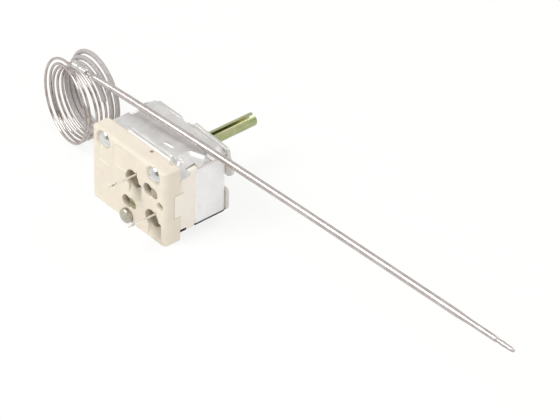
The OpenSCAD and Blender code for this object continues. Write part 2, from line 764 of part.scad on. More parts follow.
// A domed head with its shank, seated at depth y
module dome_rivet(at, seat_y, end_y) {
    bulge = (dome_r * dome_r + dome_h * dome_h) / (2 * dome_h);
    reach = asin(dome_r / bulge);
    along_y(at, seat_y) rotate([180, 0, 0]) rotate_extrude()
        polygon(concat([[0, 0]], arc([0, dome_h - bulge], bulge, 90 - reach, 90, 8)));
    disc_y(at, shank_r, seat_y, end_y);
}

module rivet_left() {
    color("silver") dome_rivet(rivet_left_at, face_y + rivet_recess_d, rivet_end_y);
}

module rivet_right() {
    color("silver") dome_rivet(rivet_right_at, face_y + rivet_recess_d, rivet_end_y);
}

module rivet_bottom() {
    color("dimgray") union() {
        along_y(rivet_bottom_at, face_y - flat_head_h)
            cylinder(r1 = flat_head_r - flat_head_edge, r2 = flat_head_r, h = flat_head_edge);
        disc_y(rivet_bottom_at, flat_head_r, face_y - flat_head_h + flat_head_edge, face_y);
        disc_y(rivet_bottom_at, shank_r, face_y, rivet_end_y);
    }
}

module calibration_screw() {
    seat_y = face_y + key_step_d;
    head_r = key_step_r - key_head_gap;
    color("darkolivegreen") difference() {
        union() {
            disc_y(key_lower_seat, head_r, seat_y - key_head_h, seat_y);
            disc_y(key_lower_seat, shank_r, seat_y, rivet_end_y);
        }
        translate([key_lower_seat[0] - head_r - over, seat_y - key_head_h - over,
            key_lower_seat[1] - screw_slot_w / 2])
            cube([2 * head_r + 2 * over, over + screw_slot_d, screw_slot_w]);
    }
}

module contact_rivet() {
    seat_y = face_y + key_step_d;
    color("sienna") union() {
        disc_y(key_upper_seat, key_step_r - key_head_gap, seat_y - key_head_h, seat_y);
        disc_y(key_upper_seat, shank_r, seat_y, rivet_end_y);
    }
}

function unit(v) = v / norm(v);

// A tube through the points, one ring of sides at each
module tube(points, d, sides) {
    n = len(points);
    rings = [for (i = [0:n - 1]) let (
            t = unit(points[min(i + 1, n - 1)] - points[max(i - 1, 0)]),
            u = unit(cross(t, [0, 1, 0])),
            w = cross(t, u))
        for (k = [0:sides - 1]) points[i] + d / 2 * (cos(360 * k / sides) * u + sin(360 * k / sides) * w)];
    walls = [for (i = [0:n - 2]) for (k = [0:sides - 1]) let (a = i * sides, b = (k + 1) % sides)
        [a + k, a + b, a + sides + b, a + sides + k]];
    polyhedron(points = rings, faces = concat([[for (k = [sides - 1:-1:0]) k]], walls,
        [[for (k = [0:sides - 1]) (n - 1) * sides + k]]));
}

module sleeve_lead() {
    color("gray") tube(lead_points, sleeve_d, lead_sides);
}

module capillary_coil() {
    color("rosybrown") translate([coil_at[0], coil_at[1], coil_z]) rotate([90, 0, -coil_yaw])
        translate([0, 0, -coil_len / 2]) difference() {
            cylinder(r = coil_r, h = coil_len);
            translate([0, 0, -over]) cylinder(r = coil_r - coil_depth, h = coil_len + 2 * over);
        }
}

// Places a child, drawn along +Z, along the probe's axis
module along_probe() {
    translate(probe_at) rotate([0, probe_pitch, probe_yaw]) rotate([0, 90, 0]) children();
}

module probe_collar() {
    r = collar_d / 2;
    color("silver") along_probe() translate([0, 0, -neck_len - collar_len]) rotate_extrude()
        polygon([[0, 0], [r - 0.5, 0], [r, 0.6], [r, collar_len - 0.4], [r - 0.3, collar_len],
            [0, collar_len]]);
}

module probe() {
    r = probe_d / 2;
    slim = r - 0.34;
    crimped = slim - crimp_depth;
    taper = probe_len - probe_end_len;
    crimp = probe_len - crimp_back;
    color("silver") along_probe() rotate_extrude()
        polygon([[0, -neck_len], [neck_d / 2, -neck_len], [neck_d / 2, -0.5], [r, 0.6], [r, taper],
            [slim, taper + probe_taper_len], [slim, crimp], [crimped, crimp + 1], [crimped, crimp + 2.5],
            [slim - 0.1, crimp + 3], [crimped, probe_len - 0.4], [crimped - 0.3, probe_len],
            [0, probe_len]]);
}

terminal_block();
switch_base();
metal_cover();
mounting_plate();
side_label();
bottom_insulator();
control_shaft();
shaft_bush();
adjusting_spindle();
diaphragm_capsule();
capsule_stud();
capillary_stub();
push_pin();
switch_lever();
moving_contact();
fixed_contact();
contact_bar();
lever_bracket();
pivot_pin();
terminal_upper();
terminal_lower();
rivet_left();
rivet_right();
rivet_bottom();
calibration_screw();
contact_rivet();
sleeve_lead();
capillary_coil();
probe_collar();
probe();
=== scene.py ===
import json
from math import asin, cos, exp, pi, radians, sin

import bmesh
import bpy
from mathutils import Matrix, Vector


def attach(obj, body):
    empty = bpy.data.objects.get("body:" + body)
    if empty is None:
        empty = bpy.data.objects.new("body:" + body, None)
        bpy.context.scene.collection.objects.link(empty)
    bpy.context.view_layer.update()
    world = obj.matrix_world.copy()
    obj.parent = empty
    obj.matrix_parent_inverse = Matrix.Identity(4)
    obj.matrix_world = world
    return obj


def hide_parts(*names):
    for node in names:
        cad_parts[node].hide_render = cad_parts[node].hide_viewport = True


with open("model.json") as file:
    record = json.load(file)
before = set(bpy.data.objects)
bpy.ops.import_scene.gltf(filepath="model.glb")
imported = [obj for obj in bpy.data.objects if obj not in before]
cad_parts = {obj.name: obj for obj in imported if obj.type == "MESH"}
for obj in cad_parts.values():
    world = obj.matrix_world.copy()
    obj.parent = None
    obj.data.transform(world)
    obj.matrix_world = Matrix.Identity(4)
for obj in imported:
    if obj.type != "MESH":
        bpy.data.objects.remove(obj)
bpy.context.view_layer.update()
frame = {"nodes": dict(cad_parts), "record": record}

MM = 0.001
PHOTO_W = 560

# Main sizes and places in millimetres, in the frame's axes
FACE_Y = -33.5
BLOCK_BACK = -25.5
BLOCK_LEFT, BLOCK_RIGHT = -22.5, 25.0
BLOCK_BOTTOM, BLOCK_TOP = -21.0, 15.5
FLOOR_Z = BLOCK_BOTTOM
BASE_LEFT, BASE_RIGHT = -20.0, 24.3
BASE_TOP, BASE_BOTTOM = 13.2, -16.5
PLATE_BACK = -1.5
COVER_T = 0.8
COVER_Z = BASE_TOP + COVER_T
SHAFT_R, SHAFT_LEN, SHAFT_START, SHAFT_WALL = 3.0, 34.5, 0.6, 1.05
SLOT_W, SLOT_TURN = 1.4, 72
CAPILLARY_D, SLEEVE_D = 1.2, 2.2

# Nodes whose own CAD mesh shows, hidden inside or too plain to redo
INNER_NODES = ["shaft_bush", "adjusting_spindle", "diaphragm_capsule", "capsule_stud", "capillary_stub",
    "push_pin", "switch_lever", "moving_contact", "fixed_contact", "contact_bar", "lever_bracket",
    "pivot_pin"]


def mm(*point):
    return Vector(point) * MM


def smooth(a, b, v):
    t = max(0.0, min(1.0, (v - a) / (b - a)))
    return t * t * (3 - 2 * t)


def bump(v, mid, half):
    return exp(-((v - mid) / half) ** 2)


# Camera at the photograph's angle

def place_camera():
    azimuth, elevation, roll = radians(47.59), radians(36.86), radians(2.02)
    distance, pixels_per_mm = 1200.0, 2.41
    offset_right, offset_up = 38.38, -24.03
    right = Vector((cos(azimuth), sin(azimuth), 0))
    toward = Vector((sin(azimuth) * cos(elevation), -cos(azimuth) * cos(elevation), sin(elevation)))
    up = toward.cross(right)
    spot = (toward * distance + right * offset_right + up * offset_up) * MM
    side = right * cos(roll) + up * sin(roll)
    top = up * cos(roll) - right * sin(roll)
    data = bpy.data.cameras.new("camera")
    data.sensor_width = 36
    data.lens = pixels_per_mm * distance / PHOTO_W * data.sensor_width
    data.clip_start, data.clip_end = 0.05, 20
    camera = bpy.data.objects.new("camera", data)
    bpy.context.scene.collection.objects.link(camera)
    turn = Matrix((side, top, toward)).transposed().to_4x4()
    camera.matrix_world = Matrix.Translation(spot) @ turn
    bpy.context.scene.camera = camera


# Building meshes

def add_mesh(name, verts, faces, smooth_shade=True):
    mesh = bpy.data.meshes.new(name)
    mesh.from_pydata([tuple(v) for v in verts], [], faces)
    mesh.validate()
    mesh.update()
    if smooth_shade:
        mesh.shade_smooth()
    piece = bpy.data.objects.new(name, mesh)
    bpy.context.scene.collection.objects.link(piece)
    return piece


def bake_down(piece):
    """Applies the piece's modifiers, or turns a curve into a mesh."""
    graph = bpy.context.evaluated_depsgraph_get()
    mesh = bpy.data.meshes.new_from_object(piece.evaluated_get(graph))
    name = piece.name
    bpy.data.objects.remove(piece)
    done = bpy.data.objects.new(name, mesh)
    bpy.context.scene.collection.objects.link(done)
    return done


def join_into(first, *others):
    """Adds the other pieces' meshes to the first and removes them."""
    builder = bmesh.new()
    for piece in (first, *others):
        builder.from_mesh(piece.data)
    builder.to_mesh(first.data)
    builder.free()
    for piece in others:
        bpy.data.objects.remove(piece)
    return first


def crisp(piece, angle=35):
    """Smooth shading that breaks at edges sharper than the angle, in degrees."""
    mesh = piece.data
    mesh.shade_smooth()
    builder = bmesh.new()
    builder.from_mesh(mesh)
    for edge in builder.edges:
        if len(edge.link_faces) == 2 and edge.calc_face_angle(0) > radians(angle):
            edge.smooth = False
    builder.to_mesh(mesh)
    builder.free()
    return piece


def softened(name, node, voxel, rounds, kept):
    """A copy of a CAD node's mesh with moulded edges: voxel in millimetres, kept a share of the faces."""
    source = frame["nodes"][node]
    piece = bpy.data.objects.new(name, source.data.copy())
    piece.data.materials.clear()
    bpy.context.scene.collection.objects.link(piece)
    remesh = piece.modifiers.new("remesh", "REMESH")
    remesh.mode = "VOXEL"
    remesh.voxel_size = voxel * MM
    relax = piece.modifiers.new("relax", "SMOOTH")
    relax.factor = 0.5
    relax.iterations = rounds
    fewer = piece.modifiers.new("fewer", "DECIMATE")
    fewer.ratio = kept
    piece = bake_down(piece)
    piece.data.shade_smooth()
    return piece


def sheet_part(name, outline, holes, low, high, edge, turn):
    """A flat part with rounded edges: outline and holes are point lists in its plane, from low to high."""
    data = bpy.data.curves.new(name, "CURVE")
    data.dimensions = "2D"
    data.fill_mode = "BOTH"
    for loop in [outline] + holes:
        spline = data.splines.new("POLY")
        spline.points.add(len(loop) - 1)
        for point, (u, v) in zip(spline.points, loop):
            point.co = (u * MM, v * MM, 0, 1)
        spline.use_cyclic_u = True
    data.bevel_depth = edge * MM
    data.bevel_resolution = 2
    data.offset = -edge * MM
    data.extrude = ((high - low) / 2 - edge) * MM
    piece = bpy.data.objects.new(name, data)
    bpy.context.scene.collection.objects.link(piece)
    piece = bake_down(piece)
    piece.data.transform(turn @ Matrix.Translation((0, 0, (low + high) / 2 * MM)))
    builder = bmesh.new()
    builder.from_mesh(piece.data)
    bmesh.ops.remove_doubles(builder, verts=builder.verts, dist=1e-7)
    bmesh.ops.recalc_face_normals(builder, faces=builder.faces)
    builder.to_mesh(piece.data)
    builder.free()
    return crisp(piece, 30)


def circle(cx, cy, r, count=32):
    return [(cx + r * cos(2 * pi * i / count), cy + r * sin(2 * pi * i / count)) for i in range(count)]


def arc(cx, cy, r, a0, a1, count):
    angles = [radians(a0 + (a1 - a0) * i / count) for i in range(count + 1)]
    return [(cx + r * cos(a), cy + r * sin(a)) for a in angles]


# Turns a part drawn in its own plane so that it stands in X and Z, its thickness along -Y
UPRIGHT = Matrix.Rotation(radians(90), 4, "X")


def lathe(name, profile, start, axis, sides=48):
    """A turned piece: profile is (distance along the axis, radius) in millimetres."""
    axis = Vector(axis).normalized()
    first = axis.orthogonal().normalized()
    second = axis.cross(first)
    verts, faces = [], []
    for along, radius in profile:
        for k in range(sides):
            a = 2 * pi * k / sides
            verts.append((Vector(start) + axis * along + (first * cos(a) + second * sin(a)) * radius) * MM)
    for i in range(len(profile) - 1):
        for k in range(sides):
            b = (k + 1) % sides
            faces.append((i * sides + k, i * sides + b, (i + 1) * sides + b, (i + 1) * sides + k))
    faces.append(tuple(range(sides - 1, -1, -1)))
    faces.append(tuple(range((len(profile) - 1) * sides, len(profile) * sides)))
    return crisp(add_mesh(name, verts, faces), 40)


def sweep(name, path, radius, sides=16):
    """A tube along the path in millimetres: radius(distance, angle) gives its surface."""
    count = len(path)
    points = [Vector(p) for p in path]
    tangents = [(points[min(i + 1, count - 1)] - points[max(i - 1, 0)]).normalized() for i in range(count)]
    side = tangents[0].orthogonal().normalized()
    distance, verts, faces = 0.0, [], []
    for i, (point, tangent) in enumerate(zip(points, tangents)):
        side = (side - tangent * side.dot(tangent)).normalized()
        other = tangent.cross(side)
        if i:
            distance += (point - points[i - 1]).length
        for k in range(sides):
            a = 2 * pi * k / sides
            verts.append((point + (side * cos(a) + other * sin(a)) * radius(distance, a)) * MM)
    for i in range(count - 1):
        for k in range(sides):
            b = (k + 1) % sides
            faces.append((i * sides + k, i * sides + b, (i + 1) * sides + b, (i + 1) * sides + k))
    faces.append(tuple(range(sides - 1, -1, -1)))
    faces.append(tuple(range((count - 1) * sides, count * sides)))
    return add_mesh(name, verts, faces)


def through(points, steps):
    """A smooth line through the given points, with steps parts in each stretch."""
    pts = [Vector(p) for p in points]
    ends = [2 * pts[0] - pts[1]] + pts + [2 * pts[-1] - pts[-2]]
    line = []
    for i in range(1, len(ends) - 2):
        a, b, c, d = ends[i - 1:i + 3]
        for k in range(steps):
            t = k / steps
            line.append(0.5 * (2 * b + (c - a) * t + (2 * a - 5 * b + 4 * c - d) * t * t
                + (3 * b - a - 3 * c + d) * t ** 3))
    return line + [pts[-1]]


# Materials

class Tree:
    """A node tree with short ways to add the nodes used here."""

    def __init__(self, tree):
        self.nodes, self.links = tree.nodes, tree.links

    def ramp(self, value, stops):
        node = self.nodes.new("ShaderNodeValToRGB")
        elements = node.color_ramp.elements
        while len(elements) < len(stops):
            elements.new(0.5)
        for element, (spot, colour) in zip(elements, stops):
            element.position = spot
            shade = colour if isinstance(colour, tuple) else (colour, colour, colour)
            element.color = (*shade, 1)
        self.links.new(value, node.inputs["Fac"])
        return node.outputs["Color"]

    def mix(self, factor, first, second):
        node = self.nodes.new("ShaderNodeMix")
        node.data_type = "RGBA"
        sockets = [s for s in node.inputs if s.type == "RGBA"]
        for socket, value in zip(sockets, (first, second)):
            if isinstance(value, tuple):
                socket.default_value = (*value, 1)
            else:
                self.links.new(value, socket)
        self.links.new(factor, node.inputs["Factor"])
        return [s for s in node.outputs if s.type == "RGBA"][0]

    def maths(self, kind, first, second):
        node = self.nodes.new("ShaderNodeMath")
        node.operation = kind
        for socket, value in zip(node.inputs, (first, second)):
            if isinstance(value, float):
                socket.default_value = value
            else:
                self.links.new(value, socket)
        return node.outputs["Value"]

    def along(self, vector, direction):
        """How far a vector points along a direction."""
        node = self.nodes.new("ShaderNodeVectorMath")
        node.operation = "DOT_PRODUCT"
        self.links.new(vector, node.inputs[0])
        node.inputs[1].default_value = Vector(direction).normalized()
        return node.outputs["Value"]


class Look(Tree):
    """A material whose colour, roughness and bump come from nodes in object coordinates."""

    def __init__(self, name, metallic=0.0, roughness=0.5):
        self.material = bpy.data.materials.new(name)
        self.material.use_nodes = True
        super().__init__(self.material.node_tree)
        self.shader = self.nodes["Principled BSDF"]
        self.shader.inputs["Metallic"].default_value = metallic
        self.shader.inputs["Roughness"].default_value = roughness
        self.coords = self.nodes.new("ShaderNodeTexCoord").outputs["Object"]

    def mapped(self, stretch, turn=(0, 0, 0)):
        mapping = self.nodes.new("ShaderNodeMapping")
        mapping.inputs["Scale"].default_value = stretch
        mapping.inputs["Rotation"].default_value = turn
        self.links.new(self.coords, mapping.inputs["Vector"])
        return mapping.outputs["Vector"]

    def noise(self, per_metre, detail=4.0, rough=0.55, stretch=(1, 1, 1), turn=(0, 0, 0), distortion=0.0):
        node = self.nodes.new("ShaderNodeTexNoise")
        node.inputs["Scale"].default_value = per_metre
        node.inputs["Detail"].default_value = detail
        node.inputs["Roughness"].default_value = rough
        node.inputs["Distortion"].default_value = distortion
        self.links.new(self.mapped(stretch, turn), node.inputs["Vector"])
        return node.outputs["Fac"]

    def colour(self, value):
        self.links.new(value, self.shader.inputs["Base Color"])

    def roughness(self, value, low, high):
        node = self.nodes.new("ShaderNodeMapRange")
        node.inputs["To Min"].default_value = low
        node.inputs["To Max"].default_value = high
        self.links.new(value, node.inputs["Value"])
        self.links.new(node.outputs["Result"], self.shader.inputs["Roughness"])

    def relief(self, layers):
        """Bump from (value, height in millimetres, strength) layers, one upon another."""
        normal = None
        for value, height, strength in layers:
            node = self.nodes.new("ShaderNodeBump")
            node.inputs["Distance"].default_value = height * MM
            node.inputs["Strength"].default_value = strength
            self.links.new(value, node.inputs["Height"])
            if normal:
                self.links.new(normal, node.inputs["Normal"])
            normal = node.outputs["Normal"]
        self.links.new(normal, self.shader.inputs["Normal"])


def depth_below_face(look):
    """Mask for the painted shade in the hollows: a share that grows with depth below the block's face,
    nought outside the block's outline.
    """
    split = look.nodes.new("ShaderNodeSeparateXYZ")
    look.links.new(look.coords, split.inputs["Vector"])
    x, y, z = (split.outputs[axis] for axis in "XYZ")
    full_depth, rim = 3.6, 1.3
    depth = look.maths("MULTIPLY", look.maths("SUBTRACT", y, FACE_Y * MM), 1 / (full_depth * MM))
    share = look.ramp(depth, [(0.12, 0.0), (0.5, 0.38), (0.95, 0.84)])
    for value, low, high in ((x, BLOCK_LEFT, BLOCK_RIGHT), (z, BLOCK_BOTTOM, BLOCK_TOP)):
        off_middle = look.maths("SUBTRACT", value, (low + high) / 2 * MM)
        distance = look.maths("ABSOLUTE", off_middle, 0.0)
        inside = look.maths("LESS_THAN", distance, ((high - low) / 2 - rim) * MM)
        share = look.maths("MULTIPLY", share, inside)
    return share


def plastic_look(name, light, dark, warm, shaded_hollows=False):
    """Moulded thermoset: faint mottling, painted shade in the hollows when asked, a fine matt skin."""
    look = Look(name, 0.0, 0.5)
    clouds = look.noise(120, 5, 0.6)
    body = look.ramp(clouds, [(0.3, dark), (0.7, light)])
    patches = look.ramp(look.noise(45, 3, 0.5, distortion=0.4), [(0.45, 0.0), (0.72, 1.0)])
    tinted = look.mix(look.maths("MULTIPLY", patches, 0.45), body, warm)
    specks = look.ramp(look.noise(2600, 2, 0.5), [(0.28, 1.0), (0.34, 0.0)])
    skin = look.mix(look.maths("MULTIPLY", specks, 0.22), tinted, (0.42, 0.36, 0.28))
    if shaded_hollows:
        # Painted shade: the hollows grow darker the deeper they lie below the face
        skin = look.mix(depth_below_face(look), skin, (0.22, 0.175, 0.12))
    look.colour(skin)
    look.roughness(clouds, 0.42, 0.62)
    look.relief([(look.noise(900, 3, 0.6), 0.03, 0.5), (look.noise(3500, 2, 0.5), 0.01, 0.5)])
    look.shader.inputs["Subsurface Weight"].default_value = 0.08
    look.shader.inputs["Subsurface Radius"].default_value = (0.8 * MM, 0.6 * MM, 0.4 * MM)
    return look.material


def zinc_look(name, light, dark, grain, metallic, rough):
    """Zinc-plated sheet: rolling lines, blotches and small scratches."""
    look = Look(name, metallic, 0.35)
    blotch = look.noise(160, 5, 0.65, distortion=0.8)
    lines = look.noise(260, 4, 0.6, stretch=grain)
    body = look.ramp(blotch, [(0.32, dark), (0.68, light)])
    scratch = look.ramp(look.noise(420, 3, 0.7, stretch=(grain[1], grain[0], 1)), [(0.66, 0.0), (0.72, 1.0)])
    look.colour(look.mix(look.maths("MULTIPLY", scratch, 0.3), body, (0.92, 0.92, 0.91)))
    look.roughness(blotch, *rough)
    look.relief([(lines, 0.02, 0.35), (blotch, 0.05, 0.25)])
    return look.material


def turned_look(name, light, dark, axis_turn, rough=(0.2, 0.36), scuffs=0.3):
    """Drawn or turned metal: lines round it and worn, lighter scuffs."""
    look = Look(name, 1.0, 0.3)
    tone = look.noise(220, 5, 0.6, distortion=0.5)
    body = look.ramp(tone, [(0.3, dark), (0.7, light)])
    lines = look.noise(1500, 3, 0.6, stretch=(1, 14, 14), turn=axis_turn)
    scuff = look.ramp(look.noise(520, 4, 0.7, distortion=1.2), [(0.62, 0.0), (0.7, 1.0)])
    look.colour(look.mix(look.maths("MULTIPLY", scuff, scuffs), body, (0.85, 0.84, 0.82)))
    look.roughness(tone, *rough)
    look.relief([(lines, 0.01, 0.25), (look.noise(800, 4, 0.6), 0.02, 0.25)])
    return look.material


def chromate_look():
    """Yellow-green passivated steel with drifting hues."""
    look = Look("chromate", 1.0, 0.32)
    drift = look.noise(90, 4, 0.6, stretch=(1, 0.45, 1), distortion=1.0)
    hues = look.ramp(drift, [(0.28, (0.24, 0.29, 0.11)), (0.45, (0.37, 0.42, 0.21)),
        (0.58, (0.50, 0.48, 0.28)), (0.75, (0.42, 0.50, 0.35))])
    worn = look.ramp(look.noise(700, 4, 0.7), [(0.6, 0.0), (0.72, 1.0)])
    look.colour(look.mix(look.maths("MULTIPLY", worn, 0.25), hues, (0.75, 0.74, 0.62)))
    look.roughness(drift, 0.22, 0.42)
    look.relief([(look.noise(1200, 3, 0.6, stretch=(6, 0.4, 6)), 0.015, 0.3)])
    return look.material


def label_look():
    look = Look("label", 0.0, 0.55)
    smudge = look.noise(140, 5, 0.65, distortion=0.6)
    body = look.ramp(smudge, [(0.35, (0.93, 0.91, 0.89)), (0.62, (0.99, 0.975, 0.955))])
    rubbed = look.ramp(look.noise(900, 4, 0.7), [(0.59, 0.0), (0.65, 1.0)])
    look.colour(look.mix(look.maths("MULTIPLY", rubbed, 0.3), body, (0.45, 0.45, 0.46)))
    look.roughness(smudge, 0.42, 0.62)
    look.relief([(look.noise(1500, 3, 0.6), 0.01, 0.4), (smudge, 0.05, 0.3)])
    return look.material


def sleeve_look():
    look = Look("sleeve", 0.0, 0.6)
    weave = look.noise(1900, 2, 0.5)
    body = look.ramp(weave, [(0.3, (0.34, 0.31, 0.30)), (0.7, (0.64, 0.60, 0.585))])
    drift = look.ramp(look.noise(80, 3, 0.5), [(0.4, 0.0), (0.7, 1.0)])
    look.colour(look.mix(look.maths("MULTIPLY", drift, 0.4), body, (0.50, 0.46, 0.43)))
    look.roughness(weave, 0.38, 0.6)
    look.shader.inputs["Sheen Weight"].default_value = 0.3
    look.relief([(weave, 0.04, 0.5)])
    return look.material


def simple_look(name, light, dark, metallic, rough, per_metre=400):
    """A plain inner or dark material with slight mottling."""
    look = Look(name, metallic, rough)
    tone = look.noise(per_metre, 4, 0.6)
    look.colour(look.ramp(tone, [(0.3, dark), (0.7, light)]))
    look.roughness(tone, max(0.05, rough - 0.08), rough + 0.1)
    look.relief([(look.noise(per_metre * 3, 3, 0.6), 0.02, 0.3)])
    return look.material


def make_looks():
    along_y = (0, 0, radians(90))
    return {
        "block": plastic_look("block", (0.87, 0.79, 0.665), (0.80, 0.715, 0.585), (0.84, 0.735, 0.63), True),
        "base": plastic_look("base", (0.99, 0.92, 0.82), (0.95, 0.865, 0.75), (0.96, 0.86, 0.77)),
        "zinc": zinc_look("zinc", (0.76, 0.745, 0.73), (0.63, 0.62, 0.605), (1, 0.12, 1), 0.6, (0.28, 0.44)),
        "plate": zinc_look("plate", (0.72, 0.70, 0.67), (0.60, 0.59, 0.565),
            (0.15, 1, 1), 0.75, (0.3, 0.46)),
        "label": label_look(),
        "insulator": simple_look("insulator", (0.035, 0.035, 0.035), (0.015, 0.015, 0.015), 0.0, 0.55),
        "chromate": chromate_look(),
        "brass": simple_look("brass", (0.72, 0.56, 0.28), (0.62, 0.46, 0.22), 1.0, 0.3),
        "steel": turned_look("steel", (0.60, 0.60, 0.61), (0.46, 0.46, 0.47), along_y),
        "capsule": simple_look("capsule", (0.66, 0.46, 0.28), (0.52, 0.34, 0.20), 1.0, 0.32),
        "capillary": turned_look("capillary", (0.64, 0.58, 0.55), (0.39, 0.34, 0.32),
            (0, 0, 0), (0.12, 0.26)),
        "ceramic": simple_look("ceramic", (0.86, 0.84, 0.78), (0.78, 0.76, 0.70), 0.0, 0.25),
        "spring_bronze": simple_look("spring_bronze", (0.70, 0.50, 0.27), (0.58, 0.40, 0.21), 1.0, 0.34),
        "contact": simple_look("contact", (0.84, 0.84, 0.82), (0.72, 0.72, 0.70), 1.0, 0.2),
        "tab": turned_look("tab", (0.90, 0.86, 0.77), (0.72, 0.67, 0.56), (0, 0, 0)),
        "rivet": turned_look("rivet", (0.80, 0.80, 0.78), (0.60, 0.60, 0.59), (0, 0, 0), (0.14, 0.3)),
        "grey_rivet": simple_look("grey_rivet", (0.60, 0.57, 0.49), (0.44, 0.41, 0.35), 1.0, 0.42),
        # Screw and contact rivet: partly their own dull colours, partly painted shade of the deep wells they
        # sit in
        "screw": simple_look("screw", (0.46, 0.44, 0.29), (0.32, 0.30, 0.18), 1.0, 0.42),
        "copper_rivet": simple_look("copper_rivet", (0.56, 0.49, 0.41), (0.40, 0.34, 0.28), 1.0, 0.4),
        "sleeve": sleeve_look(),
        "collar": turned_look("collar", (0.80, 0.78, 0.75), (0.60, 0.58, 0.56), (0, 0, 0), (0.16, 0.3)),
        "probe": turned_look("probe", (0.60, 0.55, 0.53), (0.44, 0.40, 0.39), (0, 0, 0), (0.2, 0.36), 0.35),
    }


LOOKS = make_looks()


def finish_piece(piece, slot, body, *nodes):
    """Gives a piece its material and its body, and hides the CAD nodes that it stands for."""
    piece.data.materials.clear()
    piece.data.materials.append(LOOKS[slot])
    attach(piece, body)
    if nodes:
        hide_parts(*nodes)
    return piece


# Cord: the capillary from the body, round its coil, to the collar

# Lead from the body down to the coil
LEAD_POINTS = [(-20.3, -10.2, 0), (-23, -10.1, -0.3), (-27, -9.4, -2), (-31, -8.2, -5.2),
    (-35, -6.8, -9.2), (-39, -5.5, -13.2), (-43, -4.4, -16.6), (-47.5, -3.6, -18.9), (-53, -2.9, -19.8)]
LEAD_STEPS = 5

# Coil: its turns, and how many of them the sleeve covers
COIL_TURNS, SLEEVED_TURNS = 7.5, 2.675
# Radius at the coil's waist, and how much wider its ends are
COIL_WAIST_R, COIL_FLARE = 16.1, 2.7
# First depth and depth per turn, first X of the middle and its drift per turn
COIL_START_Y, COIL_PITCH = -1.9, 2.25
COIL_START_X, COIL_DRIFT = -58.8, -0.35
# Sway with which the last turns cross, and the end's return, each with the turns where it sets in
COIL_CROSSING, CROSSING_TURNS, CROSSING_PHASE = 1.9, (5, 6), 0.75
COIL_RETURN, RETURN_TURNS = 4.5, (7.1, 7.75)
# Height of the sleeved turns' middle line above the floor, and how much lower the bare turns lie
SLEEVED_LIFT, BARE_DROP, BARE_TURNS = 1.15, 0.5, (1.5, 3)
# Turn about the upright, and parts per turn
COIL_YAW = radians(4.9)
COIL_PARTS = 40


def coil_turn(turns):
    """Depth, radius and middle's X of the coil: it narrows to its waist, and its last turns cross."""
    crossing = COIL_CROSSING * smooth(*CROSSING_TURNS, turns) * cos(2 * pi * (turns - CROSSING_PHASE))
    depth = COIL_START_Y - COIL_PITCH * turns - crossing + COIL_RETURN * smooth(*RETURN_TURNS, turns)
    waist = COIL_TURNS / 2
    radius = COIL_WAIST_R + COIL_FLARE * ((turns - waist) / waist) ** 2
    return depth, radius, COIL_START_X + COIL_DRIFT * turns


def coil_line(first, last):
    """The coil's middle line between two counts of turns, clockwise seen from the terminals."""
    across = Vector((cos(COIL_YAW), -sin(COIL_YAW), 0))
    upward = Vector((0, 0, 1))
    line = []
    for i in range(round(first * COIL_PARTS), round(last * COIL_PARTS) + 1):
        turns = i / COIL_PARTS
        a = 2 * pi * turns
        depth, r, middle = coil_turn(turns)
        lift = SLEEVED_LIFT - BARE_DROP * smooth(*BARE_TURNS, turns)
        low = Vector((middle, depth, FLOOR_Z + lift))
        line.append(low + upward * r - across * r * sin(a) - upward * r * cos(a))
    return line


PROBE_YAW, PROBE_DROP = radians(3.69), 1.78 / 70.8
PROBE_AT = Vector((-46.5, -14.25, 17.7))
PROBE_AXIS = Vector((cos(PROBE_YAW), sin(PROBE_YAW), -PROBE_DROP)).normalized()
PROBE_LEN, PROBE_R, PROBE_END_LEN = 235.5, 1.55, 31.0
NECK_LEN, NECK_R, COLLAR_LEN, COLLAR_R = 3.7, 0.85, 8.6, 1.45


def capillary_line():
    lead = through(LEAD_POINTS + [tuple(coil_line(0, 1)[0])], LEAD_STEPS)
    coil = coil_line(0, COIL_TURNS)
    collar_mouth = PROBE_AT - PROBE_AXIS * (NECK_LEN + COLLAR_LEN)
    top = coil[-1]
    rise = Vector((0, 0, 0.05))
    bridge = [top.lerp(collar_mouth, 0.5) + rise, collar_mouth, collar_mouth + PROBE_AXIS * 2]
    return lead[:-1] + coil + bridge


def tube_curve(name, line, diameter):
    data = bpy.data.curves.new(name, "CURVE")
    data.dimensions = "3D"
    spline = data.splines.new("POLY")
    spline.points.add(len(line) - 1)
    for point, place in zip(spline.points, line):
        point.co = (*(Vector(place) * MM), 1)
    data.bevel_depth = diameter / 2 * MM
    data.bevel_resolution = 4
    data.use_fill_caps = True
    spline.use_smooth = True
    piece = bpy.data.objects.new(name, data)
    bpy.context.scene.collection.objects.link(piece)
    return piece


def even(line, step):
    """The same line, resampled at an even step."""
    out, carry = [line[0]], 0.0
    for a, b in zip(line, line[1:]):
        length = (b - a).length
        if length < 1e-9:
            continue
        spot = step - carry
        while spot <= length:
            out.append(a.lerp(b, spot / length))
            spot += step
        carry = length - (spot - step)
    return out + [line[-1]]


def make_cord():
    line = capillary_line()
    capillary = tube_curve("capillary", line, CAPILLARY_D)
    coil_points = coil_line(0, SLEEVED_TURNS)
    sleeved = through(LEAD_POINTS + [tuple(coil_points[0])], LEAD_STEPS)[:-1] + coil_points
    braid_turns, braid_step, braid_h, ring_step = 8, 1.5, 0.06, 0.42

    def braid(distance, angle):
        left = cos(braid_turns * angle + 2 * pi * distance / braid_step)
        right = cos(braid_turns * angle - 2 * pi * distance / braid_step)
        return SLEEVE_D / 2 - braid_h + braid_h * max(left, right)

    sleeve = sweep("capillary_sleeve", even(sleeved, ring_step), braid, 32)
    finish_piece(capillary, "capillary", "root", "capillary_coil")
    finish_piece(sleeve, "sleeve", "root", "sleeve_lead")
    return capillary, sleeve


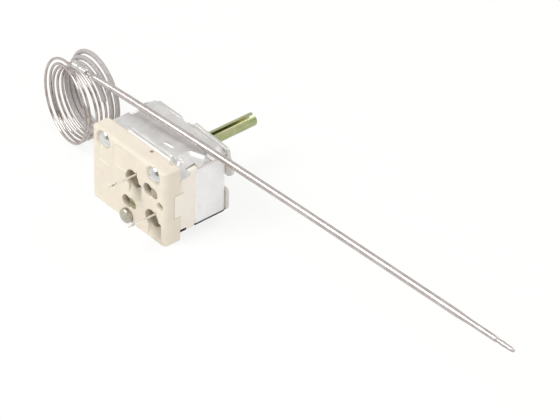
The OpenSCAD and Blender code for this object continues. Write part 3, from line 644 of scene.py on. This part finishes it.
def make_probe():
    bow, bow_power = 1.38, 0.72
    steps, ring_step = 160, 0.8
    side = PROBE_AXIS.cross(Vector((0, 0, 1))).normalized()
    lift = side.cross(PROBE_AXIS).normalized()
    bow_way = lift * 0.35 - side * 0.5
    total = PROBE_LEN + NECK_LEN
    line = []
    for i in range(steps + 1):
        s = total * i / steps
        sag = bow * sin(pi * (max(0.0, s - NECK_LEN) / PROBE_LEN) ** bow_power)
        line.append(PROBE_AT + PROBE_AXIS * (s - NECK_LEN) + bow_way * sag)
    line = even(line, ring_step)
    taper = PROBE_LEN - PROBE_END_LEN
    taper_len, slim = 11, PROBE_R - 0.34
    crimp, crimp_d, tip = PROBE_LEN - 9, 0.3, 0.8
    fold_at, fold_h, shoulder = crimp + 3.6, 0.2, (-0.6, 0.7)

    def surface(distance, angle):
        s = distance - NECK_LEN
        r = NECK_R + (PROBE_R - NECK_R) * smooth(*shoulder, s)
        r -= (PROBE_R - slim) * smooth(taper, taper + taper_len, s)
        r -= crimp_d * smooth(crimp, crimp + 1, s)
        r += fold_h * bump(s, fold_at, 1.0)
        r -= crimp_d * smooth(PROBE_LEN - tip, PROBE_LEN, s)
        return r

    return finish_piece(sweep("probe_tube", line, surface, 32), "probe", "root", "probe")


def make_collar():
    start = PROBE_AT - PROBE_AXIS * (NECK_LEN + COLLAR_LEN)
    steps = 60
    line = [start + PROBE_AXIS * COLLAR_LEN * i / steps for i in range(steps + 1)]
    mouth_d, mouth_len, end_d, end_len = 0.45, 0.6, 0.3, 0.4
    # Depth, place and half width of the two crimped rings
    crimps = ((0.08, 3.2, 0.9), (0.06, 6.0, 0.7))

    def surface(distance, angle):
        r = COLLAR_R - mouth_d * (1 - smooth(0, mouth_len, distance))
        r -= end_d * smooth(COLLAR_LEN - end_len, COLLAR_LEN, distance)
        for depth, spot, half in crimps:
            r -= depth * bump(distance, spot, half) * (0.6 + 0.4 * cos(4 * angle))
        return r

    return finish_piece(sweep("crimp_collar", line, surface, 32), "collar", "root", "probe_collar")


# Terminal block and base

def make_block():
    piece = softened("block_moulding", "terminal_block", 0.23, 3, 0.4)
    return finish_piece(piece, "block", "root", "terminal_block")


def make_base():
    piece = softened("base_moulding", "switch_base", 0.22, 2, 0.25)
    return finish_piece(piece, "base", "root", "switch_base")


# Sheet-metal cover, pressed with a rib and a sloped corner

COVER_X = (BASE_LEFT - 0.9, BASE_RIGHT + 0.7)
COVER_Y = (BLOCK_BACK + 0.1, PLATE_BACK - 0.1)
RIB_Y, RIB_H, RIB_HALF = BLOCK_BACK + 2.9, 1.45, 0.72
RIB_X, RIB_END = (BASE_LEFT + 7, BASE_RIGHT - 8.2), (-1, 2)
# Length over which a rib rises at its left end
RIB_RUN = 3
# Fine creases before and behind the rib
CREASE_D, CREASE_HALF, CREASE_OFF = 0.22, 0.25, (1.5, 1.55)
SECOND_RIB_Y, SECOND_RIB_X, SECOND_RIB_SLANT = BLOCK_BACK + 7.5, (3.15, 11.15), 0.14
SECOND_RIB_H, SECOND_RIB_HALF, SECOND_RIB_END = 0.5, 0.55, (-2, 0)
PIP_AT, PIP_H, PIP_SPREAD = (BASE_RIGHT - 6.1, BLOCK_BACK + 5.2), 0.75, 1.2
CORNER_X, CORNER_BLEND = BASE_RIGHT - 8.8, 2.6
CORNER_CREASE, CORNER_SLOPE = (BASE_RIGHT - 9.4, BLOCK_BACK + 10.5), (-0.205, 0.2)
SIDE_CREASE_X, SIDE_SLOPE = BASE_RIGHT - 3.1, -0.5
LUG_Y = (BLOCK_BACK + 5.2, BLOCK_BACK + 9.4)
LUG_X, LUG_GAP = BASE_RIGHT - 2.3, 0.25
# Pressed ridge from the pip to the right edge: its line, its start, height, far and near half widths
RIDGE_FROM, RIDGE_TO = (BASE_RIGHT - 9.1, BLOCK_BACK + 11.2), (BASE_RIGHT + 0.7, BLOCK_BACK + 16.2)
RIDGE_RUN, RIDGE_H, RIDGE_FAR, RIDGE_NEAR = (-1, 3), 0.8, 0.4, 1.3
LEFT_NOTCH_X, LEFT_NOTCH_Y = BASE_LEFT + 1.4, (BLOCK_BACK + 9.9, BLOCK_BACK + 14.9)


def rib_share(x, span, end):
    """A rib's share of its full height, rising at the left and falling between two offsets at the right."""
    low, high = span
    return smooth(low, low + RIB_RUN, x) * (1 - smooth(high + end[0], high + end[1], x))


def cover_main(x, y):
    window = rib_share(x, RIB_X, RIB_END)
    second_window = rib_share(x, SECOND_RIB_X, SECOND_RIB_END)
    second_y = SECOND_RIB_Y + SECOND_RIB_SLANT * (x - SECOND_RIB_X[0])
    before = bump(y, RIB_Y - CREASE_OFF[0], CREASE_HALF)
    behind = bump(y, RIB_Y + CREASE_OFF[1], CREASE_HALF)
    creases = CREASE_D * window * (before + behind)
    return (COVER_Z + RIB_H * window * bump(y, RIB_Y, RIB_HALF) - creases
        + SECOND_RIB_H * second_window * bump(y, second_y, SECOND_RIB_HALF))


def cover_corner(x, y):
    fall = CORNER_SLOPE[0] * (x - CORNER_CREASE[0]) + CORNER_SLOPE[1] * (y - CORNER_CREASE[1])
    side_fall = SIDE_SLOPE * (x - SIDE_CREASE_X)
    return COVER_Z + min(0.0, fall, side_fall)


def cover_ridge(x, y):
    line = Vector(RIDGE_TO) - Vector(RIDGE_FROM)
    spot = Vector((x - RIDGE_FROM[0], y - RIDGE_FROM[1]))
    along = spot.dot(line.normalized())
    past = spot.dot(Vector((line.y, -line.x)).normalized())
    return RIDGE_H * smooth(*RIDGE_RUN, along) * bump(past, 0, RIDGE_NEAR if past > 0 else RIDGE_FAR)


def cover_height(x, y):
    s = smooth(CORNER_X, CORNER_X + CORNER_BLEND, x)
    pip = PIP_H * exp(-((x - PIP_AT[0]) ** 2 + (y - PIP_AT[1]) ** 2) / PIP_SPREAD)
    return (1 - s) * cover_main(x, y) + s * cover_corner(x, y) + pip + cover_ridge(x, y)


def snapped(span, count, edges):
    """Evenly spaced values over a span, the nearest ones moved onto the edges."""
    values = [span[0] + (span[1] - span[0]) * i / count for i in range(count + 1)]
    for edge in edges:
        nearest = min(range(count + 1), key=lambda i: abs(values[i] - edge))
        values[nearest] = edge
    return values


def make_cover():
    hole_x, hole_y = LUG_X - LUG_GAP, (LUG_Y[0] - LUG_GAP, LUG_Y[1] + LUG_GAP)
    columns, rows = 180, 110
    xs = snapped(COVER_X, columns, [hole_x, LEFT_NOTCH_X])
    ys = snapped(COVER_Y, rows, [*hole_y, *LEFT_NOTCH_Y])
    # Closer rows over the rib, a little aside so that none falls on an even row
    fine, fine_step, aside = 28, 0.12, 0.013
    ys = sorted(ys + [RIB_Y + fine_step * (i - fine / 2) + aside for i in range(fine + 1)])
    builder = bmesh.new()
    grid = [[builder.verts.new(mm(x, y, cover_height(x, y))) for x in xs] for y in ys]
    for j in range(len(ys) - 1):
        for i in range(len(xs) - 1):
            mid_x, mid_y = (xs[i] + xs[i + 1]) / 2, (ys[j] + ys[j + 1]) / 2
            in_hole = mid_x > hole_x and hole_y[0] < mid_y < hole_y[1]
            in_notch = mid_x < LEFT_NOTCH_X and LEFT_NOTCH_Y[0] < mid_y < LEFT_NOTCH_Y[1]
            if in_hole or in_notch:
                continue
            builder.faces.new((grid[j][i], grid[j][i + 1], grid[j + 1][i + 1], grid[j + 1][i]))
    loose = [v for v in builder.verts if not v.link_faces]
    bmesh.ops.delete(builder, geom=loose, context="VERTS")
    mesh = bpy.data.meshes.new("cover_sheet")
    builder.to_mesh(mesh)
    builder.free()
    piece = bpy.data.objects.new("cover_sheet", mesh)
    bpy.context.scene.collection.objects.link(piece)
    solid = piece.modifiers.new("thickness", "SOLIDIFY")
    solid.thickness = COVER_T * MM
    solid.offset = -1
    edge = piece.modifiers.new("edge", "BEVEL")
    edge.width = 0.12 * MM
    edge.segments = 2
    edge.limit_method = "ANGLE"
    edge.angle_limit = radians(50)
    piece = crisp(bake_down(piece), 50)
    return finish_piece(piece, "zinc", "root", "metal_cover")


# Mounting plate with its ears

def make_plate():
    half, top, bottom, thick = 25.6, 14.0, -17.4, 1.5
    fixing_x, fixing_r, bore_r = 14, 1.65, 4.5
    lip_r, lip_h, lip_start = 2.75, 1.3, -2.7
    ear = half + 3
    side = arc(half - 3, bottom + 3, 3, 270, 360, 8)
    side += [(half, -7.2), (half - 1, -5.9), (half - 4.6, -5.9), (half - 4.6, 2.6), (ear - 2.6, 1.4)]
    side += arc(ear - 1.6, 4, 1.6, 290, 380, 6) + arc(ear - 1.9, 7.2, 1.9, 0, 60, 6)
    outline = side + [(half + 0.4, top - 3)] + arc(half - 1.6, top - 1.4, 2, 0, 90, 7)
    outline += [(17.3, top + 1.1), (12, top + 1.3), (9.6, top + 1.4), (9, top + 1.7), (4.6, top + 1.9),
        (1.6, top - 0.8), (-0.5, top - 0.8), (-1.2, top - 1.6), (-2.8, top - 1.6), (-3.8, top - 0.9),
        (-4.8, top), (-19.2, top)]
    outline += [(-u, v) for u, v in reversed(side)]
    holes = [circle(-fixing_x, 0, fixing_r), circle(fixing_x, 0, fixing_r), circle(0, 0, bore_r, 48),
        circle(half - 1.9, top - 1.7, 0.8, 20)]
    plate = sheet_part("front_plate", outline, holes, 0, thick, 0.18, UPRIGHT)
    lips = []
    profile = [(0, fixing_r), (0, lip_r - 0.15), (0.15, lip_r), (lip_h, lip_r),
        (lip_h, fixing_r), (0, fixing_r)]
    for x in (-fixing_x, fixing_x):
        lips.append(lathe(f"collar{x}", profile, (x, lip_start, 0), (0, 1, 0), 32))
    return finish_piece(join_into(plate, *lips), "plate", "root", "mounting_plate")


def make_label():
    front, back = BLOCK_BACK + 8.1, PLATE_BACK - 0.4
    high, thick, r = 26.8, 0.25, 0.6
    cut_long, cut_high = 1.7, 2.4
    top = BASE_TOP - 2.6
    low = top - high
    outline = arc(back - r, top - r, r, 0, 90, 4) + [(front + cut_long, top), (front, top - cut_high)]
    outline += arc(front + r, low + r, r, 180, 270, 4) + arc(back - r, low + r, r, 270, 360, 4)
    stand = Matrix(((0, 0, 1, 0), (1, 0, 0, 0), (0, 1, 0, 0), (0, 0, 0, 1)))
    piece = sheet_part("side_sticker", outline, [], BASE_RIGHT, BASE_RIGHT + thick, 0.06, stand)
    return finish_piece(piece, "label", "root", "side_label")


# Black bottom sheet under the base; made thick so that its black edge also paints the shade of the gap there
def make_insulator_with_gap_shade():
    front, back = BLOCK_BACK + 0.2, PLATE_BACK - 0.2
    left, right, notch = BASE_LEFT + 0.5, BASE_RIGHT, BASE_RIGHT - 2.2
    notch_low, notch_high = BLOCK_BACK + 3.7, BLOCK_BACK + 8.3
    outline = [(left, front), (right, front), (right, notch_low), (notch, notch_low), (notch, notch_high),
        (right, notch_high), (right, back), (left, back)]
    flat, thick = Matrix.Identity(4), 0.8
    piece = sheet_part("bottom_sheet", outline, [], BASE_BOTTOM - thick, BASE_BOTTOM, 0.08, flat)
    return finish_piece(piece, "insulator", "root", "bottom_insulator")


# Control shaft: a rolled sheet with a long slot

def make_shaft():
    inner = SHAFT_R - SHAFT_WALL
    half_out = asin(SLOT_W / 2 / SHAFT_R) * 180 / pi
    half_in = asin(SLOT_W / 2 / inner) * 180 / pi
    ring = arc(0, 0, SHAFT_R, SLOT_TURN + half_out, SLOT_TURN + 360 - half_out, 60)
    ring += arc(0, 0, inner, SLOT_TURN + 360 - half_in, SLOT_TURN + half_in, 44)
    slot_start = SHAFT_START + 2
    rolled = sheet_part("shaft_tube", ring, [], -SHAFT_LEN, -slot_start, 0.12, UPRIGHT)
    rim, bore = circle(0, 0, SHAFT_R, 72), circle(0, 0, inner, 56)
    foot = sheet_part("foot", rim, [bore], -slot_start, -SHAFT_START, 0.03, UPRIGHT)
    return finish_piece(join_into(rolled, foot), "chromate", "setting_shaft", "control_shaft")


# Terminals

def make_tab(name, at, node, plates):
    half, half_t, tip_y = 3.15, 0.4, FACE_Y - 11.7
    foot_t = 0.8
    hole_back, hole_r = 4.6, 0.9
    back = BLOCK_BACK + foot_t
    outline = [(-half, back), (half, back),
        (half, tip_y + 2.2), (half - 1, tip_y + 0.5), (half - 1.6, tip_y),
        (-half + 1.6, tip_y), (-half + 1, tip_y + 0.5), (-half, tip_y + 2.2)]
    turn = Matrix.Translation(mm(at[0], 0, at[1])) @ Matrix.Rotation(radians(-45), 4, "Y")
    hole = circle(0, tip_y + hole_back, hole_r, 24)
    blade = sheet_part(name, outline[::-1], [hole], -half_t, half_t, 0.12, turn)
    x0, x1, z0, z1 = plates
    foot = sheet_part(name + "_foot", [(x0, z0), (x1, z0), (x1, z1), (x0, z1)], [],
        -BLOCK_BACK - foot_t, -BLOCK_BACK, 0.05, UPRIGHT)
    return finish_piece(join_into(blade, foot), "tab", "root", node)


def make_tabs():
    make_tab("tab_upper", (4.0, 3.7), "terminal_upper", (-10.5, 6.6, -2.3, 6.3))
    make_tab("tab_lower", (16.65, -9.0), "terminal_lower", (14.05, 19.25, -11.6, 3.0))


# Rivets and screws

SHANK_R = 1.6
RECESS_D = 0.8


def make_dome(name, x, z, node):
    r, h, shank = 3.6, 1.7, 7.1
    bulge = (r * r + h * h) / (2 * h)
    seat = FACE_Y + RECESS_D
    rings = 14
    profile = [(0, 0.02)]
    for i in range(1, rings + 1):
        a = asin(r / bulge) * i / rings
        profile.append((bulge - bulge * cos(a), bulge * sin(a)))
    profile += [(h + 0.02, r - 0.25), (h, SHANK_R), (h + shank, SHANK_R), (h + shank, 0.02)]
    piece = lathe(name, profile, (x, seat - h, z), (0, 1, 0), 64)
    return finish_piece(piece, "rivet", "root", node)


def make_flat_rivet():
    r, h, edge, shank = 3.3, 2.8, 0.7, 7.9
    profile = [(0, 0.02), (0.1, r - 1.8), (0.25, r - 1.1), (0.42, r - 0.7), (edge, r - 0.3),
        (edge + 0.3, r - 0.06), (edge + 0.5, r), (h, r), (h, SHANK_R),
        (h + shank, SHANK_R), (h + shank, 0.02)]
    piece = lathe("rivet_flat", profile, (0.9, FACE_Y - h, BLOCK_BOTTOM + 3.4), (0, 1, 0), 64)
    return finish_piece(piece, "grey_rivet", "root", "rivet_bottom")


def make_screws():
    for node, slot in (("calibration_screw", "screw"), ("contact_rivet", "copper_rivet")):
        finish_piece(softened(node + "_head", node, 0.14, 2, 0.6), slot, "root", node)


def make_inner():
    for node in INNER_NODES:
        part = frame["nodes"][node]
        slot = next(s["material_slot"] for s in frame["record"]["subparts"] if s["node"] == node)
        part.data.materials.clear()
        part.data.materials.append(LOOKS[slot])


# Floor, world and lamps

def make_stage():
    """A paper floor that shows white to the camera. Half its side is in metres."""
    half = 3.0
    floor = add_mesh("floor", [(-half, -half, FLOOR_Z * MM), (half, -half, FLOOR_Z * MM),
        (half, half, FLOOR_Z * MM), (-half, half, FLOOR_Z * MM)], [(0, 1, 2, 3)], False)
    material = bpy.data.materials.new("floor")
    material.use_nodes = True
    tree = Tree(material.node_tree)
    tree.nodes.clear()
    output = tree.nodes.new("ShaderNodeOutputMaterial")
    paper = tree.nodes.new("ShaderNodeBsdfDiffuse")
    paper.inputs["Color"].default_value = (0.9, 0.9, 0.89, 1)
    glow = tree.nodes.new("ShaderNodeEmission")
    ray = tree.nodes.new("ShaderNodeLightPath")
    for_camera = tree.maths("MULTIPLY", ray.outputs["Is Camera Ray"], 0.8)
    for_metal = tree.maths("MULTIPLY", ray.outputs["Is Glossy Ray"], 0.65)
    share = tree.maths("ADD", for_camera, for_metal)
    glow.inputs["Color"].default_value = (1.03, 1.03, 1.015, 1)
    mix = tree.nodes.new("ShaderNodeMixShader")
    tree.links.new(share, mix.inputs["Fac"])
    tree.links.new(paper.outputs["BSDF"], mix.inputs[1])
    tree.links.new(glow.outputs["Emission"], mix.inputs[2])
    tree.links.new(mix.outputs["Shader"], output.inputs["Surface"])
    floor.data.materials.append(material)


def make_world():
    """White surroundings. Metal also sees a darker front, where the camera stands, and a bright top."""
    world = bpy.data.worlds.new("studio")
    world.use_nodes = True
    bpy.context.scene.world = world
    tree = Tree(world.node_tree)
    background = tree.nodes["Background"]
    ray = tree.nodes.new("ShaderNodeLightPath")
    direction = tree.nodes.new("ShaderNodeTexCoord").outputs["Generated"]
    height = tree.along(direction, (0, 0, 1))
    sky = tree.ramp(height, [(0.0, 0.8), (0.25, 0.95), (0.55, 0.78), (0.95, 1.0)])
    front = tree.ramp(tree.along(direction, (0.6, -0.68, 0.42)), [(0.6, 1.0), (0.88, 0.32)])
    metal_level = tree.maths("MULTIPLY", sky, front)
    seen = tree.maths("MAXIMUM", ray.outputs["Is Camera Ray"], ray.outputs["Is Glossy Ray"])
    level = tree.maths("MAXIMUM", ray.outputs["Is Camera Ray"], metal_level)
    strength = tree.nodes.new("ShaderNodeMapRange")
    strength.inputs["To Min"].default_value = 0.5
    tree.links.new(level, strength.inputs["To Max"])
    tree.links.new(seen, strength.inputs["Value"])
    tree.links.new(strength.outputs["Result"], background.inputs["Strength"])
    tree.links.new(tree.mix(seen, (0.97, 0.985, 1.0), (1.0, 0.995, 0.985)), background.inputs["Color"])


def add_lamp(name, spot, target, size, watts):
    data = bpy.data.lights.new(name, "AREA")
    data.shape = "SQUARE"
    data.size = size
    data.energy = watts
    lamp = bpy.data.objects.new(name, data)
    bpy.context.scene.collection.objects.link(lamp)
    lamp.location = spot
    lamp.rotation_euler = (Vector(target) - Vector(spot)).to_track_quat("-Z", "Y").to_euler()
    return lamp


def make_lamps():
    add_lamp("key", (-0.35, -0.75, 0.95), (0, -0.01, 0), 0.7, 9.0)
    add_lamp("fill", (0.9, -0.35, 0.45), (0.02, 0, 0), 0.8, 2.25)
    add_lamp("rim", (0.1, 0.9, 0.7), (0.02, 0, 0), 0.6, 2.5)


place_camera()
capillary, sleeve = make_cord()
make_probe()
collar = make_collar()
make_block()
make_base()
make_cover()
make_plate()
make_label()
make_insulator_with_gap_shade()
make_shaft()
make_tabs()
make_dome("dome_left", BLOCK_LEFT + 7.3, BLOCK_TOP - 4.4, "rivet_left")
make_dome("dome_right", BLOCK_RIGHT - 8, BLOCK_TOP - 4.4, "rivet_right")
make_flat_rivet()
make_screws()
make_inner()
make_stage()
make_world()
make_lamps()

bpy.context.scene.view_settings.view_transform = "Standard"
